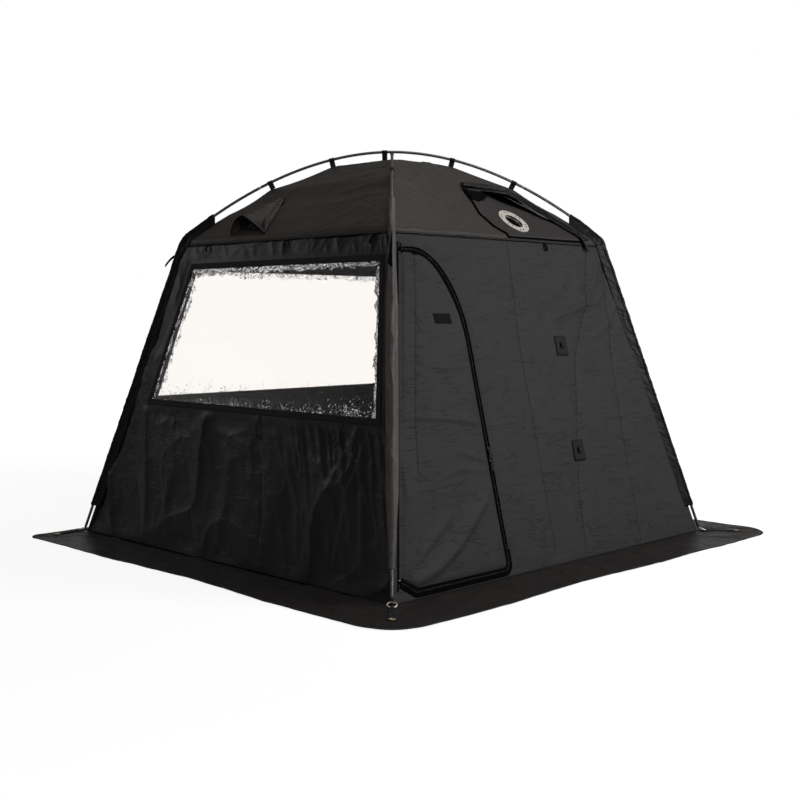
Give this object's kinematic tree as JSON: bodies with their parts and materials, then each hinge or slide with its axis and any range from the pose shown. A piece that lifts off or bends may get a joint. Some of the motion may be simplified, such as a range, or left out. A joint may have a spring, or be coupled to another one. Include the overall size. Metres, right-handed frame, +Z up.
{
  "type": "sauna tent",
  "caption": "Square pop-up sauna tent on crossing bent poles, with a zipped D-shaped door, clear windows, a flue panel with a metal ring, a hooded roof vent and a ground skirt.",
  "frame": {"origin": "on the ground, under the middle of the tent's outer box with its skirt", "axes": "+Z up; -Y is the side with the door; -X is the side with the window and the vent"},
  "size_m": [2.62, 2.42, 1.8163],
  "materials": {
    "quilted_polyester": "matte quilted",
    "roof_cloth": "coated, dull sheen",
    "skirt_cloth": "coated, dull sheen",
    "sleeve_cloth": "gathered, dull sheen",
    "webbing": "woven, matte",
    "aluminium": "drawn, satin",
    "clear_film": "clear, glossy",
    "steel": "satin",
    "black_metal": "black enamel",
    "panel_cloth": "coated, dull sheen",
    "insect_net": "open net, matte"
  },
  "bodies": {
    "tent": {"wall_front": "quilted_polyester", "roof_front": "roof_cloth", "skirt_front": "skirt_cloth", "wall_right": "quilted_polyester", "roof_right": "roof_cloth", "skirt_right": "skirt_cloth", "wall_back": "quilted_polyester", "roof_back": "roof_cloth", "skirt_back": "skirt_cloth", "wall_left": "quilted_polyester", "roof_left": "roof_cloth", "skirt_left": "skirt_cloth", "leg_pole_front_left": "aluminium", "elbow_pole_front_left": "aluminium", "pole_sleeve_front_left": "sleeve_cloth", "pole_strap_front_left_1": "webbing", "pole_strap_front_left_2": "webbing", "ring_pin_front_left": "steel", "corner_anchor_front_left": "webbing", "leg_pole_front_right": "aluminium", "elbow_pole_front_right": "aluminium", "pole_sleeve_front_right": "sleeve_cloth", "pole_strap_front_right_1": "webbing", "pole_strap_front_right_2": "webbing", "ring_pin_front_right": "steel", "corner_anchor_front_right": "webbing", "leg_pole_back_right": "aluminium", "elbow_pole_back_right": "aluminium", "pole_sleeve_back_right": "sleeve_cloth", "pole_strap_back_right_1": "webbing", "pole_strap_back_right_2": "webbing", "ring_pin_back_right": "steel", "corner_anchor_back_right": "webbing", "leg_pole_back_left": "aluminium", "elbow_pole_back_left": "aluminium", "pole_sleeve_back_left": "sleeve_cloth", "pole_strap_back_left_1": "webbing", "pole_strap_back_left_2": "webbing", "ring_pin_back_left": "steel", "corner_anchor_back_left": "webbing", "crown_pole_upper": "aluminium", "crown_pole_lower": "aluminium", "crown_strap": "webbing", "zip_tape_wall": "webbing", "window_frame_left": "webbing", "window_film_left": "clear_film", "window_frame_back": "webbing", "window_film_back": "clear_film", "flue_panel": "panel_cloth", "flue_ring": "steel", "flue_ring_backing": "steel", "flue_cover_roll": "webbing", "vent_hood": "roof_cloth", "vent_net": "insect_net"},
    "door": {"door_panel": "quilted_polyester", "zip_tape_door": "webbing"},
    "slider_upper": {"zip_slider_upper": "black_metal"},
    "pull_upper": {"zip_pull_upper": "black_metal"},
    "slider_lower": {"zip_slider_lower": "black_metal"},
    "pull_lower": {"zip_pull_lower": "black_metal"}
  },
  "joints": [
    {"name": "door_swing", "type": "hinge", "parent": "tent", "child": "door", "pos_m": [-0.85394, -0.78994, 0.6], "axis": [-0.2354, -0.2354, -0.9429], "range_deg": [0, 130]},
    {"name": "upper_zip_run", "type": "slide", "parent": "door", "child": "slider_upper", "axis": [0, 0.2422, 0.9702], "range_m": [0, 0.42]},
    {"name": "lower_zip_run", "type": "slide", "parent": "door", "child": "slider_lower", "axis": [0, -0.2422, -0.9702], "range_m": [0, 0.38]},
    {"name": "upper_pull_lift", "type": "hinge", "parent": "slider_upper", "child": "pull_upper", "pos_m": [-0.371, -0.82325, 0.50208], "axis": [-1, 0, 0], "range_deg": [0, 170]},
    {"name": "lower_pull_lift", "type": "hinge", "parent": "slider_lower", "child": "pull_lower", "pos_m": [-0.371, -0.83574, 0.45208], "axis": [-1, 0, 0], "range_deg": [0, 170]}
  ]
}
